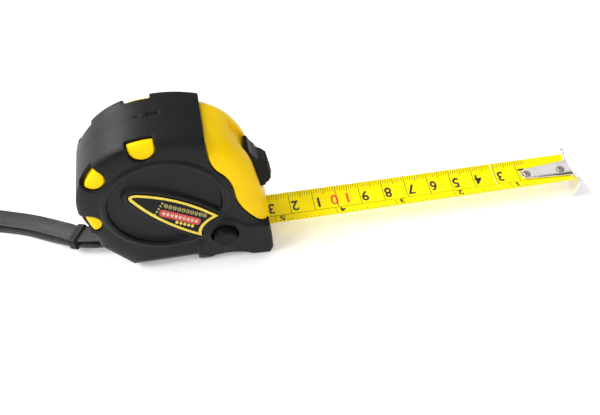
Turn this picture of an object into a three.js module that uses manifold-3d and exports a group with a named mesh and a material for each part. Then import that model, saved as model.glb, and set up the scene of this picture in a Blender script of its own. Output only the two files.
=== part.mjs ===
// A 5 m pocket tape measure with a rubber-clad round case, a thumb lock, a side brake button,
// an extended blade and a wrist strap. Millimetres, +Z up, +X out of the mouth, y = 0 mid blade.
// The origin is on the flat base, under the drum axis. Right is the -Y side, left the +Y side.
import * as THREE from 'three';
import { mergeVertices } from 'three/addons/utils/BufferGeometryUtils.js';
import Module from 'manifold-3d';

const wasm = await Module();
wasm.setup();

// ---- driving dimensions -------------------------------------------------------------------
const CURVE_STEPS = 5; // segments on each curved stretch of a case outline
const GAP = 0.3; // clearance between touching pieces
const FINEST = 0.02; // detail below this size, left by the cuts, is merged away
const SEAM_Y = 0.9; // plane in which the two case halves meet

const AXIS_Z = 36.3; // height of the drum axis
const REAR_R = 31.5; // radius of the round rear and top, over the rubber
const RUBBER = 1.8; // rubber thickness, with the gap under it
const SIDE_Y = 14.4; // flat side of the rubber
const RING_Y = 15.2; // top of the raised side ring
const RING_R = [20.8, 23.2]; // inner and outer radius of the ring
const DISH_Y = { right: 13.3, left: 13.8 }; // floors of the dishes inside the rings
const BOSS_R = 9.2; // rubber boss round the side button

const BUTTON = { x: 20.4, z: 15.6, r: 4.5, hole: 5.3, out: 17.9 };
const COLLAR_R = 5.9; // outer radius of the rubber collar at the bottom of the button's hole
const WINDOWS = [98.5, 143.5, 190.5]; // angles of the side windows, degrees from +X
const WINDOW = { half: 4.9, inner: 24, inset: 9.8 };

const PAD_R = [30.7, 29.6, 29.2]; // outer radii of the yellow pads in the windows

const MOUTH = { x: 39.5, z0: 6, z1: 11, half: 8.7 };
const BLADE = { width: 15.2, sag: 1.9, low: 7.5, thick: 0.35, tip: 33 };
const HOOK_X = 171.4; // inner face of the hook
const RIVETS = [HOOK_X - 19, HOOK_X - 3.6];
const COIL = { r0: 19.8, r1: 24.4, half: 8 };
const POST_R = 3.2;

const LOCK = { x: 35.35, z: 36, lean: 11.7, half: 4.4, recess: 1.5 };
const STRAP = { width: 8, thick: 1 };
const PIN = { x: -18.3, z: 10, r: 1.2 };
const SCREWS = [[-19.5, 16.2], [-19.2, 54.9], [21.2, 53.2], [34.3, 4.1]];
const SCREW_BOSS_R = 2.3;
const SCREW_R = 1;

// ---- materials ----------------------------------------------------------------------------
const finish = (color, roughness, metalness = 0) => (
  new THREE.MeshStandardMaterial({ color, roughness, metalness }));
const YELLOW = finish(0xf2cf12, 0.35);
const RUBBER_BLACK = finish(0x2b2b2c, 0.6);
const PLASTIC_BLACK = finish(0x202022, 0.45);
const NYLON = finish(0xe8e6df, 0.5);
const STEEL = finish(0xb9bcc0, 0.35, 1);
const CHROME = finish(0xd9dbdd, 0.15, 1);
const SPRING_STEEL = finish(0x5f6570, 0.35, 1);
const TAPE = finish(0xf6e012, 0.3);
const WEBBING = finish(0x303133, 0.85);
const PRINT = finish(0x1c1c1e, 0.3);

// ---- solids -------------------------------------------------------------------------------
const root = new THREE.Group();

function toSolid(geometry) {
  const g = geometry.clone();
  g.deleteAttribute('normal');
  g.deleteAttribute('uv');
  const merged = mergeVertices(g, 1e-4);
  const triVerts = new Uint32Array(merged.index.array);
  const vertProperties = new Float32Array(merged.attributes.position.array);
  const mesh = new wasm.Mesh({ numProp: 3, vertProperties, triVerts });
  mesh.merge();
  return new wasm.Manifold(mesh);
}

function toGeometry(solid) {
  const mesh = solid.getMesh();
  const geometry = new THREE.BufferGeometry();
  geometry.setAttribute('position', new THREE.BufferAttribute(mesh.vertProperties, 3));
  geometry.setIndex(new THREE.BufferAttribute(mesh.triVerts, 1));
  geometry.computeVertexNormals();
  return geometry;
}

function add(name, solid, material) {
  const mesh = new THREE.Mesh(toGeometry(solid.simplify(FINEST)), material);
  mesh.name = name;
  root.add(mesh);
  return mesh;
}

const joined = (...solids) => solids.reduce((a, b) => a.add(b));
const cut = (solid, ...tools) => tools.reduce((a, b) => a.subtract(b), solid);

function block(x0, x1, y0, y1, z0, z1) {
  const g = new THREE.BoxGeometry(x1 - x0, y1 - y0, z1 - z0);
  g.translate((x0 + x1) / 2, (y0 + y1) / 2, (z0 + z1) / 2);
  return toSolid(g);
}

/** A cylinder along Y. */
function rod(x, z, r, y0, y1, sides = 20) {
  const g = new THREE.CylinderGeometry(r, r, y1 - y0, sides);
  g.translate(x, (y0 + y1) / 2, z);
  return toSolid(g);
}

/** A solid of revolution along Y from a closed or axis-to-axis profile of [radius, y] points. */
function turned(x, z, profile, sides = 32) {
  const g = new THREE.LatheGeometry(profile.map(([r, y]) => new THREE.Vector2(r, y)), sides);
  g.translate(x, 0, z);
  const solid = toSolid(g);
  return solid.volume() < 0 ? toSolid(flipped(g)) : solid;
}

function flipped(geometry) {
  const g = geometry.clone();
  const index = g.index.array;
  for (let i = 0; i < index.length; i += 3) [index[i], index[i + 1]] = [index[i + 1], index[i]];
  return g;
}

const points2 = (pairs) => pairs.map(([a, b]) => new THREE.Vector2(a, b));

/** The outline without points that lie on the line between their neighbours. */
function bare(outline) {
  const n = outline.length;
  return outline.filter((p, i) => {
    const [a, b] = [outline[(i + n - 1) % n], outline[(i + 1) % n]];
    return Math.abs((p.x - a.x) * (b.y - p.y) - (p.y - a.y) * (b.x - p.x)) > 1e-6;
  });
}

/** An outline in the XZ plane, extruded from y0 to y1. */
function plate(outline, y0, y1) {
  const shape = new THREE.Shape(bare(outline));
  const g = new THREE.ExtrudeGeometry(shape, { depth: y1 - y0, bevelEnabled: false });
  g.rotateX(Math.PI / 2);
  g.translate(0, y1, 0);
  return toSolid(g);
}

/** An outline in the YZ plane, extruded from x0 to x1. */
function profileAlongX(outline, x0, x1) {
  const shape = new THREE.Shape(bare(outline));
  const g = new THREE.ExtrudeGeometry(shape, { depth: x1 - x0, bevelEnabled: false });
  g.applyMatrix4(new THREE.Matrix4().set(0, 0, 1, x0, 1, 0, 0, 0, 0, 1, 0, 0, 0, 0, 0, 1));
  return toSolid(g);
}

/** The counter-clockwise outline moved inwards by distance, corners kept mitred. */
function inset(outline, distance) {
  const n = outline.length;
  return outline.map((p, i) => {
    const before = p.clone().sub(outline[(i + n - 1) % n]).normalize();
    const after = outline[(i + 1) % n].clone().sub(p).normalize();
    const normal = new THREE.Vector2(-before.y - after.y, before.x + after.x).normalize();
    const along = Math.max(0.5, -before.y * normal.x + before.x * normal.y);
    return p.clone().addScaledVector(normal, distance / along);
  });
}

/** The triangles of a fan over a ring of n points from number `from`, about point `middle`. */
const fan = (from, n, middle) => (
  Array.from({ length: n }, (_, i) => [from + i, from + ((i + 1) % n), middle]).flat());

/** The triangles of a ladder over a ring whose first half faces its second half, as a strip's does. */
const ladder = (from, n) => Array.from({ length: n / 2 - 1 }, (_, i) => {
  const [a, b, c, d] = [i, i + 1, n - 2 - i, n - 1 - i].map((k) => from + k);
  return [a, b, c, a, c, d];
}).flat();

const reversed = (index) => {
  const flippedIndex = [];
  for (let i = 0; i < index.length; i += 3) flippedIndex.push(index[i + 1], index[i], index[i + 2]);
  return flippedIndex;
};

/** A closed body from rings of equal length, each a list of Vector3, capped by fans or ladders. */
function skinned(rings, withLadders = false) {
  const n = rings[0].length;
  const index = [];
  for (let r = 0; r + 1 < rings.length; r += 1) {
    for (let i = 0; i < n; i += 1) {
      const [a, b] = [r * n + i, r * n + ((i + 1) % n)];
      index.push(a, b, a + n, b, b + n, a + n);
    }
  }
  const last = (rings.length - 1) * n;
  const middles = [rings[0], rings.at(-1)].map((ring) => (
    ring.reduce((sum, p) => sum.add(p), new THREE.Vector3()).divideScalar(n)));
  const caps = withLadders ? [ladder(0, n), ladder(last, n)] : [fan(0, n, last + n), fan(last, n, last + n + 1)];
  index.push(...reversed(caps[0]), ...caps[1]);
  const points = withLadders ? rings.flat() : [...rings.flat(), ...middles];
  const g = new THREE.BufferGeometry().setFromPoints(points);
  g.setIndex(index);
  const solid = toSolid(g);
  return solid.volume() < 0 ? toSolid(flipped(g)) : solid;
}

/** An XZ outline between the y values of steps, each [y, inset], mirrored to both sides. */
function rounded(outline, steps) {
  const half = steps.map(([y, distance]) => [y, inset(outline, distance)]);
  const both = [...half.map(([y, o]) => [-y, o]), ...half.slice().reverse()];
  const rings = both.map(([y, o]) => o.map((p) => new THREE.Vector3(p.x, y, p.y)));
  return skinned(rings);
}

/** A section swept through frames of {at, u, v}: section x goes along u and y along v. */
function swept(section, frames) {
  const rings = frames.map(({ at, u, v }, i) => {
    const points = typeof section === 'function' ? section(i) : section;
    return points.map((p) => at.clone().addScaledVector(u, p.x).addScaledVector(v, p.y));
  });
  return skinned(rings, true);
}

// ---- outlines of the case, in XZ ------------------------------------------------------------
const degrees = (a) => (a * Math.PI) / 180;

/** Round rear and top of radius r, down to the angle of the rear chamfer. */
const rearArc = (path, r) => path.absarc(0, AXIS_Z, r, degrees(90), degrees(208), false);

function outlineOf(path) {
  const points = path.getPoints(CURVE_STEPS);
  const first = points[0];
  const ends = points.filter((p, i) => i === 0 || p.distanceTo(points[i - 1]) > 1e-3);
  return ends.filter((p, i) => i === 0 || p.distanceTo(first) > 1e-3);
}

/** The rubber, without its front block. */
function gripOutline() {
  const path = new THREE.Path().moveTo(-15, 0).lineTo(38, 0).lineTo(38.6, 9).lineTo(38.4, 19);
  path.quadraticCurveTo(38, 34, 34, 46.4).quadraticCurveTo(29.4, 60, 17.3, 65.4);
  path.quadraticCurveTo(9, 68.3, 0, AXIS_Z + REAR_R);
  return outlineOf(rearArc(path, REAR_R).lineTo(-26.9, 16));
}

/** The yellow case where rubber covers it. */
function coreOutline() {
  const path = new THREE.Path().moveTo(-14.1, RUBBER).lineTo(10, RUBBER);
  path.quadraticCurveTo(19.5, 7.6, 29, 3.8).lineTo(33, 1.9).lineTo(37, 1.9).lineTo(37.9, 9);
  path.lineTo(37.5, 19).quadraticCurveTo(36.6, 34, 32.3, 45.8).quadraticCurveTo(28, 58.4, 16.6, 63.6);
  path.quadraticCurveTo(8.6, 66.6, 0, AXIS_Z + REAR_R - RUBBER);
  return outlineOf(rearArc(path, REAR_R - RUBBER).lineTo(-25.2, 16.5));
}

/** The yellow face that shows at the front. */
function faceOutline() {
  const path = new THREE.Path().moveTo(0, 4.4).lineTo(39.2, 4.4).lineTo(MOUTH.x, 9).lineTo(39.1, 17);
  path.quadraticCurveTo(38.2, 22.4, 36.8, 29).lineTo(33.9, 43).quadraticCurveTo(32.2, 50.5, 27.6, 56.2);
  path.quadraticCurveTo(24, 60.8, 17.3, 63.8).quadraticCurveTo(9, 66.4, 0, 66.2);
  return outlineOf(path);
}

/** The hollow inside. */
function hollowOutline() {
  const path = new THREE.Path().moveTo(-13.2, 3.5).lineTo(9, 3.5).lineTo(14, MOUTH.z0);
  path.lineTo(36.2, MOUTH.z0).lineTo(36.2, 17).lineTo(33.8, 28.5).lineTo(30.7, 43.4);
  path.quadraticCurveTo(28.2, 52.6, 23, 57.2).quadraticCurveTo(14, 64.1, 0, 64.1);
  return outlineOf(rearArc(path, 27.8).lineTo(-23.5, 17.2));
}

/** Side-view region where the yellow face is bare; its rear edge is an S-shaped curve. */
function faceRegion(shift) {
  const path = new THREE.Path().moveTo(45, 17.6).lineTo(45, 80).lineTo(17.4, 80).lineTo(17.4, 59.6);
  path.quadraticCurveTo(17.6, 52.6, 21.2, 48.8).quadraticCurveTo(25.4, 44, 25.6, 36);
  path.quadraticCurveTo(26.4, 30, 31.6, 23).quadraticCurveTo(34.4, 18.6, 37.4, 17.6);
  const outline = outlineOf(path);
  return joined(
    plate(inset(outline, shift), -20, 20),
    block(36.4, 45, -10.2 + shift, 10.2 - shift, 4.4 + shift - GAP, 20),
  );
}

const gripSides = [[SIDE_Y, 8], [14.2, 4.6], [13.6, 1.9], [12.6, 0.4], [11, 0]];
const coreSides = [[12.4, 6.4], [12, 3], [10.8, 0.8], [8.8, 0]];
const faceSides = [[14, 8.6], [13.5, 5], [12, 2.1], [9.4, 0.5], [5.4, 0]];
const hollowSides = [[10.9, 4.6], [10.2, 1.4], [8.4, 0]];

/** A side window: a slot along the radius at angle, open outwards, with a round inner end. */
function windowSlot(angle, shrink) {
  const half = WINDOW.half - shrink;
  const path = new THREE.Path().moveTo(40, -half).lineTo(40, half);
  path.lineTo(WINDOW.inner + half + shrink, half);
  path.absarc(WINDOW.inner + half + shrink, 0, half, degrees(90), degrees(270), false);
  const at = new THREE.Vector2(0, AXIS_Z);
  const outline = outlineOf(path).map((p) => p.rotateAround(new THREE.Vector2(), degrees(angle)).add(at));
  const deep = WINDOW.inset + shrink;
  return joined(plate(outline, -20, -deep), plate(outline, deep, 20));
}

const allWindows = (shrink) => joined(...WINDOWS.map((angle) => windowSlot(angle, shrink)));

// ---- yellow case ----------------------------------------------------------------------------
/** Outline of the front block and button boss of the rubber. */
function frontBlockOutline() {
  const path = new THREE.Path().moveTo(9, 0).lineTo(38, 0).lineTo(39.3, 3).lineTo(38.9, 11);
  path.lineTo(38.2, 18.6).lineTo(30, 19.6).lineTo(28, 20.8);
  path.absarc(BUTTON.x, BUTTON.z, BOSS_R, degrees(35), degrees(188), false);
  return outlineOf(path.lineTo(9, 11).lineTo(9, 5));
}

/** The front block, whose lower edge tucks in towards its rear. */
function frontBlock() {
  const tuck = (x, z) => 1 - 0.15 * Math.max(0, 1 - z / 5) * ((38 - x) / 29);
  const outline = frontBlockOutline();
  const half = [[15.2, 1.4], [14.9, 0.5], [14.2, 0]];
  const steps = [...half.map(([y, d]) => [-y, d]), ...half.slice().reverse()];
  const rings = steps.map(([y, d]) => inset(outline, d).map((p) => (
    new THREE.Vector3(p.x, y * tuck(p.x, p.y), p.y))));
  return skinned(rings);
}

/** The finger arch under the front block. */
function arch() {
  const path = new THREE.Path().moveTo(11.4, -5).lineTo(30.6, -5).lineTo(30.2, 1.2);
  return plate(outlineOf(path.quadraticCurveTo(20, 5.6, 11.4, 0)), -20, 20);
}

/** The tuck under the rear lower edges, on both sides. */
function lowerEdgeCuts() {
  const wedge = [[10.1, -1], [20, -1], [20, 8], [14.5, 6.4], [12.6, 3], [10.1, 0]];
  const left = profileAlongX(points2(wedge), -40, 9);
  const right = profileAlongX(points2(wedge.map(([y, z]) => [-y, z]).reverse()), -40, 9);
  return [left, right];
}

/** The slot through the lower rear that the wrist strap leaves by. */
function strapSlot(y) {
  const along = new THREE.Vector2(0.597, -0.802);
  const inward = new THREE.Vector2(0.802, 0.597);
  const middle = new THREE.Vector2(-21, 8);
  const corner = (a, b) => middle.clone().addScaledVector(along, a).addScaledVector(inward, b);
  const half = 3.3;
  return plate([corner(-half, -6), corner(half, -6), corner(half, 7), corner(-half, 7)], -y, y);
}

function outerCase() {
  const body = rounded(gripOutline(), gripSides.map(([y, d]) => [y - 0.9, d + 0.9]));
  const pads = WINDOWS.map((angle, i) => (
    body.intersect(windowSlot(angle, GAP)).intersect(rod(0, AXIS_Z, PAD_R[i], -20, 20, 44))));
  const face = rounded(faceOutline(), faceSides).intersect(faceRegion(GAP));
  return joined(rounded(coreOutline(), coreSides), ...pads, face);
}

/** Place in the thumb lock's own directions: s up the slope, n out of it. */
function onSlope(s, n) {
  const [c, k] = [Math.cos(degrees(LOCK.lean)), Math.sin(degrees(LOCK.lean))];
  return new THREE.Vector2(LOCK.x - s * k + n * c, LOCK.z + s * c + n * k);
}

const slopePlate = (pairs, half) => plate(pairs.map(([s, n]) => onSlope(s, n)).reverse(), -half, half);

/** The track that the thumb lock slides in, and the slot through its floor. */
function lockTrack() {
  const track = slopePlate([[-7.6, -8], [-7.6, 8], [22.3, 8], [22.3, -8]], LOCK.half + 0.4);
  const floor = plate(inset(faceOutline(), LOCK.recess), -20, 20);
  const slot = slopePlate([[-1, -6], [-1, 4], [11.8, 4], [11.8, -6]], 2.7);
  return joined(track.subtract(floor), slot);
}

/** Tubes for the screws, the centre post and the button's stem, joined to the walls. */
function bosses() {
  const tubes = SCREWS.map(([x, z]) => rod(x, z, SCREW_BOSS_R, -11.4, 11.4, 12));
  const guide = rod(BUTTON.x, BUTTON.z, 3.5, 2, 11.4);
  const seats = joined(rod(0, AXIS_Z, 5.2, -11.4, -9.9), rod(0, AXIS_Z, 5.2, 9.9, 11.4));
  return joined(...tubes, guide, seats);
}

function caseHoles() {
  const mouth = block(30, 45, -MOUTH.half, MOUTH.half, MOUTH.z0, MOUTH.z1);
  const screws = SCREWS.map(([x, z]) => joined(
    rod(x, z, SCREW_R + GAP, -8, 20, 12),
    rod(x, z, 2, 11.2, 20, 12),
  ));
  const stem = rod(BUTTON.x, BUTTON.z, 2.5, 1, 10.9);
  const button = joined(
    rod(BUTTON.x, BUTTON.z, BUTTON.r + GAP, -20, -8, 28),
    rod(BUTTON.x, BUTTON.z, COLLAR_R + GAP, -20, -11.7, 28),
  );
  const post = rod(0, AXIS_Z, POST_R + GAP, -10.9, 10.9);
  const clipScrew = rod(0, AXIS_Z, 1.8, 5, 20);
  return [mouth, ...screws, stem, button, post, clipScrew, strapSlot(5.2), lockTrack()];
}

const strapPinHole = () => rod(PIN.x, PIN.z, PIN.r + GAP, -8.3, 8.3, 12);

function caseHalves() {
  const hollow = rounded(hollowOutline(), hollowSides);
  const shell = cut(outerCase(), hollow).add(bosses().intersect(outerCase()));
  const pinSeats = joined(
    block(-22, -15.4, -8.8, -5.4, 7, 13),
    block(-22, -15.4, 5.4, 8.8, 7, 13),
  ).intersect(rounded(coreOutline(), coreSides));
  const whole = cut(shell.add(pinSeats), ...caseHoles(), strapPinHole());
  const right = whole.intersect(block(-60, 60, -30, SEAM_Y - GAP / 2, -10, 90));
  const left = whole.intersect(block(-60, 60, SEAM_Y + GAP / 2, 30, -10, 90));
  add('case_right', right, YELLOW);
  add('case_left', left, YELLOW);
}

// ---- rubber grips -----------------------------------------------------------------------------
/** Leaf outline of the label, grown outwards by margin; its front edge is hollow. */
function leafOutline(margin) {
  const path = new THREE.Path().moveTo(11.5, 17.2);
  path.quadraticCurveTo(10.8, 23.8, 18.7, 27.6).quadraticCurveTo(6.4, 41, -9.2, 45);
  path.quadraticCurveTo(-13, 45.4, -12, 42.4).quadraticCurveTo(-4, 27.6, 11.5, 17.2);
  return inset(outlineOf(path), -margin);
}

/** The raised ring on one side of the rubber. */
function sideRing(side) {
  const [r0, r1] = RING_R;
  const low = SIDE_Y - 1.2;
  const profile = [[r0, low], [r1 + 0.8, low], [r1, RING_Y - 0.5], [r1 - 0.6, RING_Y],
    [r0 + 0.5, RING_Y], [r0, RING_Y - 0.4], [r0, low]];
  return turned(0, AXIS_Z, profile.map(([r, y]) => [r, side * y]), 44);
}

function grips() {
  const main = cut(rounded(gripOutline(), gripSides), ...lowerEdgeCuts());
  const dish = joined(
    rod(0, AXIS_Z, RING_R[0], -20, -DISH_Y.right, 44),
    rod(0, AXIS_Z, RING_R[0], DISH_Y.left, 20, 44),
  );
  const island = plate(leafOutline(1.9), -14.9, -13);
  const pocket = plate(leafOutline(GAP), -20, -14.3);
  const dished = joined(cut(main, dish), sideRing(-1), sideRing(1), island, frontBlock());
  const core = rounded(inset(coreOutline(), -GAP), coreSides.map(([y, d]) => [y + GAP, d]));
  const holes = [
    pocket, arch(), core, faceRegion(0), allWindows(0), strapSlot(5.2),
    rod(BUTTON.x, BUTTON.z, BUTTON.hole, -20, -8, 28),
    block(30, 45, -MOUTH.half, MOUTH.half, MOUTH.z0, MOUTH.z1),
    rod(0, AXIS_Z, 2.2, 5, 20),
    ...SCREWS.map(([x, z]) => rod(x, z, 2.6, 8, 20, 12)),
  ];
  const collar = cut(
    rod(BUTTON.x, BUTTON.z, COLLAR_R, -13, -12, 28),
    rod(BUTTON.x, BUTTON.z, BUTTON.r + GAP, -20, -8, 28),
  );
  const skin = joined(cut(dished, ...holes), collar);
  add('grip_right', skin.intersect(block(-60, 60, -30, SEAM_Y - GAP / 2, -10, 90)), RUBBER_BLACK);
  add('grip_left', skin.intersect(block(-60, 60, SEAM_Y + GAP / 2, 30, -10, 90)), RUBBER_BLACK);
  add('label_plate', plate(leafOutline(0), -15, -14.6), PRINT);
}

// ---- tape, drum and springs ---------------------------------------------------------------------
/** The hollow tape section: width across, curved upwards by sag, counter-clockwise. */
function tapeSection(sag, thick = BLADE.thick, width = BLADE.width) {
  const steps = 8;
  const at = (i) => (i / steps - 0.5) * 2;
  const lower = Array.from({ length: steps + 1 }, (_, i) => (
    new THREE.Vector2((at(i) * width) / 2, sag * at(i) ** 2)));
  return [...lower, ...lower.map((p) => p.clone().add(new THREE.Vector2(0, thick))).reverse()];
}

const tapeFrame = (x, z) => (
  { at: new THREE.Vector3(x, 0, z), u: new THREE.Vector3(0, 1, 0), v: new THREE.Vector3(0, 0, 1) });

function blade() {
  const tipStart = HOOK_X - BLADE.tip;
  const coilBottom = AXIS_Z - COIL.r1;
  // [x, height of the middle, sag]: flat under the coil, hollow from the mouth on
  const stations = [[-3, coilBottom - 0.7, 0], [6, coilBottom - 1.3, 0.15], [16, 9, 0.7],
    [27, 8, 1.4], [36, BLADE.low, BLADE.sag], [tipStart - GAP, BLADE.low, BLADE.sag]];
  const strip = swept((i) => tapeSection(stations[i][2]), stations.map(([x, z]) => tapeFrame(x, z)));
  add('blade_strip', strip, TAPE);
  const holes = RIVETS.map((x) => upright(x, 1.4, 4, 12));
  const tip = swept(tapeSection(BLADE.sag), [tipStart, HOOK_X - GAP].map((x) => tapeFrame(x, BLADE.low)));
  add('blade_tip', cut(tip, ...holes), TAPE);
}

/** A cylinder along Z on the blade's middle. */
function upright(x, r, z0, z1, sides = 14) {
  const g = new THREE.CylinderGeometry(r, r, z1 - z0, sides);
  g.rotateX(Math.PI / 2);
  g.translate(x, 0, (z0 + z1) / 2);
  return toSolid(g);
}

/** The hook: a riveted plate on the blade and an upright face with ears above and fangs below. */
function hook() {
  const top = BLADE.low + BLADE.thick + GAP;
  const path = new THREE.Path().moveTo(0, 3.6).quadraticCurveTo(5.4, 3.2, 9.2, 0.3);
  path.quadraticCurveTo(10.6, 4, 10.2, 10.8).lineTo(8, 11.3).quadraticCurveTo(5.2, 8.2, 0, top);
  path.quadraticCurveTo(-5.2, 8.2, -8, 11.3).lineTo(-10.2, 10.8).quadraticCurveTo(-10.6, 4, -9.2, 0.3);
  path.quadraticCurveTo(-5.4, 3.2, 0, 3.6);
  const face = profileAlongX(outlineOf(path), HOOK_X, HOOK_X + 0.8);
  // half width and place of the plate, from its round end to the bend
  const widths = [[-21.6, 1.2], [-21, 2.5], [-19.6, 3.3], [-16, 3.7], [-6, 4], [-1.6, 4.6], [0.8, 4.8]];
  const arm = swept(
    (i) => tapeSection(BLADE.sag * ((2 * widths[i][1]) / BLADE.width) ** 2, 0.5, 2 * widths[i][1]),
    widths.map(([x]) => tapeFrame(HOOK_X + x, top)),
  );
  const slots = RIVETS.map((x) => joined(
    upright(x, 0.95, 6, 12), upright(x - 1, 0.95, 6, 12), block(x - 1, x, -0.95, 0.95, 6, 12)));
  add('end_hook', cut(joined(face, arm), ...slots), CHROME);
  RIVETS.forEach((x, i) => {
    const head = top + 0.5 + 0.12;
    const body = joined(
      upright(x, 0.75, BLADE.low - 0.5, head + 0.1), upright(x, 1.7, head, head + 0.5),
      upright(x, 1.5, BLADE.low - 0.55, BLADE.low - 0.25));
    add(`hook_rivet_${i + 1}`, body, STEEL);
  });
}

/** A flat strip wound in turns about the drum axis between two radii. */
function spiral(r0, r1, turns, thick, half) {
  const steps = turns * 12;
  const section = points2([[-thick / 2, -half], [thick / 2, -half], [thick / 2, half], [-thick / 2, half]]);
  const frames = Array.from({ length: steps + 1 }, (_, i) => {
    const [a, r] = [(i / 12) * 2 * Math.PI, r0 + ((r1 - r0) * i) / steps];
    const out = new THREE.Vector3(Math.cos(a), 0, Math.sin(a));
    return { at: new THREE.Vector3(0, 0, AXIS_Z).addScaledVector(out, r), u: out, v: new THREE.Vector3(0, 1, 0) };
  });
  return swept(section, frames);
}

function drum() {
  const hub = POST_R + 0.4;
  const cup = [[hub, -9], [19.4, -9], [19.4, 8.2], [18.3, 8.2], [18.3, -7.9], [hub, -7.9], [hub, -9]];
  add('spring_drum', turned(0, AXIS_Z, cup, 36), NYLON);
  const lid = [[hub, 8.5], [19.4, 8.5], [19.4, 9.4], [hub, 9.4], [hub, 8.5]];
  add('drum_cover', turned(0, AXIS_Z, lid, 36), NYLON);
  add('power_spring', spiral(4.4, 17.4, 6, 0.4, 7.4), SPRING_STEEL);
  const coil = [[COIL.r0, -COIL.half], [COIL.r1, -COIL.half], [COIL.r1, COIL.half],
    [COIL.r0, COIL.half], [COIL.r0, -COIL.half]];
  add('tape_coil', turned(0, AXIS_Z, coil, 44), TAPE);
  const slit = block(-0.35, 0.35, -7.8, 7.8, AXIS_Z, AXIS_Z + 4);
  add('spring_post', cut(rod(0, AXIS_Z, POST_R, -10.6, 10.6), slit, rod(0, AXIS_Z, 1.6, 4, 11)), STEEL);
}

// ---- thumb lock, side button and brake ------------------------------------------------------------
function thumbLock() {
  const base = slopePlate([[-7, -1.2], [-7.2, 0], [-6.9, 2.1], [7.6, 2.1], [10.4, 0.9], [13, 0.3],
    [13, -1.2]], LOCK.half);
  const hump = [[-6.9, 1.5], [-6.5, 3.2], [-4.8, 4.6], [-2.8, 5], [3.4, 5], [4.8, 4.2], [6.6, 2.6], [8.6, 1.5]];
  const ribs = [-3.2, -1.2, 0.8, 2.8].map((s) => (
    slopePlate([[s, 4.4], [s + 0.4, 5.7], [s + 1, 5.7], [s + 1.3, 4.4]], 3.1)));
  add('thumb_lock', joined(base, slopePlate(hump, 3.5), ...ribs), PLASTIC_BLACK);
  const carriage = slopePlate([[-8, -5.2], [-8, -3.7], [5.6, -3.7], [5.6, -5.2]], 4);
  const neck = slopePlate([[-0.6, -4], [-0.6, -1.5], [5.4, -1.5], [5.4, -4]], 2.3);
  const leg = plate(points2([[31.6, 13.6], [33, 13.6], [33, 29], [31.6, 29]]), -3.2, 3.2);
  const foot = block(30.4, 34, -4.6, 4.6, 12.6, 14.2);
  add('lock_slider', joined(carriage, neck, leg, foot), PLASTIC_BLACK);
  add('lock_shoe', block(30.6, 33.8, -4.8, 4.8, 10.6, 12.3), RUBBER_BLACK);
}

function sideButton() {
  const { x, z, r, out } = BUTTON;
  const profile = [[0, -out], [r - 0.9, -out], [r - 0.25, -out + 0.3], [r, -out + 1], [r, -10.6],
    [5.6, -10.6], [5.6, -9.7], [2.2, -9.7], [2.2, 4], [0, 4]];
  const flat = block(x - 20, x + 20, -11.6, -9, z + 4.9, z + 20);
  const cap = turned(x, z, profile, 24).subtract(flat);
  const wedge = profileAlongX(points2([[-6.6, 13.9], [-6.6, 12.9], [-5.6, 12.9], [-3, 13.6], [-3, 13.9]]),
    x - 1.4, x + 1.4);
  add('side_button', joined(cap, wedge), PLASTIC_BLACK);
  add('button_spring', coilSpring(x, z, 4.3, 10.6, 1.6, 0.28, 4), SPRING_STEEL);
  const shoe = points2([[-6.8, 10.5], [5.4, 10.5], [5.4, 11.7], [1.4, 11.7], [-2, 13],
    [-5.2, 12.2], [-6.8, 12.2]]);
  add('brake_shoe', profileAlongX(shoe, x - 3, x + 3), RUBBER_BLACK);
}

/** A helical wire spring along Y. */
function coilSpring(x, z, y0, y1, radius, wire, turns) {
  const steps = turns * 10;
  const circle = Array.from({ length: 6 }, (_, i) => (
    new THREE.Vector2(wire * Math.cos((i * Math.PI) / 3), wire * Math.sin((i * Math.PI) / 3))));
  const frames = Array.from({ length: steps + 1 }, (_, i) => {
    const a = (i / 10) * 2 * Math.PI;
    const out = new THREE.Vector3(Math.cos(a), 0, Math.sin(a));
    const y = y0 + wire + ((y1 - y0 - 2 * wire) * i) / steps;
    return { at: new THREE.Vector3(x, y, z).addScaledVector(out, radius), u: out, v: new THREE.Vector3(0, 1, 0) };
  });
  return swept(circle, frames);
}

// ---- fittings ---------------------------------------------------------------------------------------
function fittings() {
  SCREWS.forEach(([x, z], i) => {
    const screw = turned(x, z, [[0, -7], [SCREW_R, -6.4], [SCREW_R, 11.5], [1.7, 11.5], [1.7, 12.3],
      [0, 12.6]], 12);
    const cross = joined(block(x - 1.1, x + 1.1, 12, 13, z - 0.25, z + 0.25),
      block(x - 0.25, x + 0.25, 12, 13, z - 1.1, z + 1.1));
    add(`case_screw_${i + 1}`, screw.subtract(cross), STEEL);
  });
  const guide = [[-8.3, 6.3], [8.3, 6.3], [8.3, 9], [7.6, 9], [2.6, 6.7], [-2.6, 6.7], [-7.6, 9],
    [-8.3, 9]];
  add('mouth_guide', profileAlongX(points2(guide), 31, 38.6), NYLON);
  add('strap_pin', rod(PIN.x, PIN.z, PIN.r, -8, 8, 14), STEEL);
}

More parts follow.
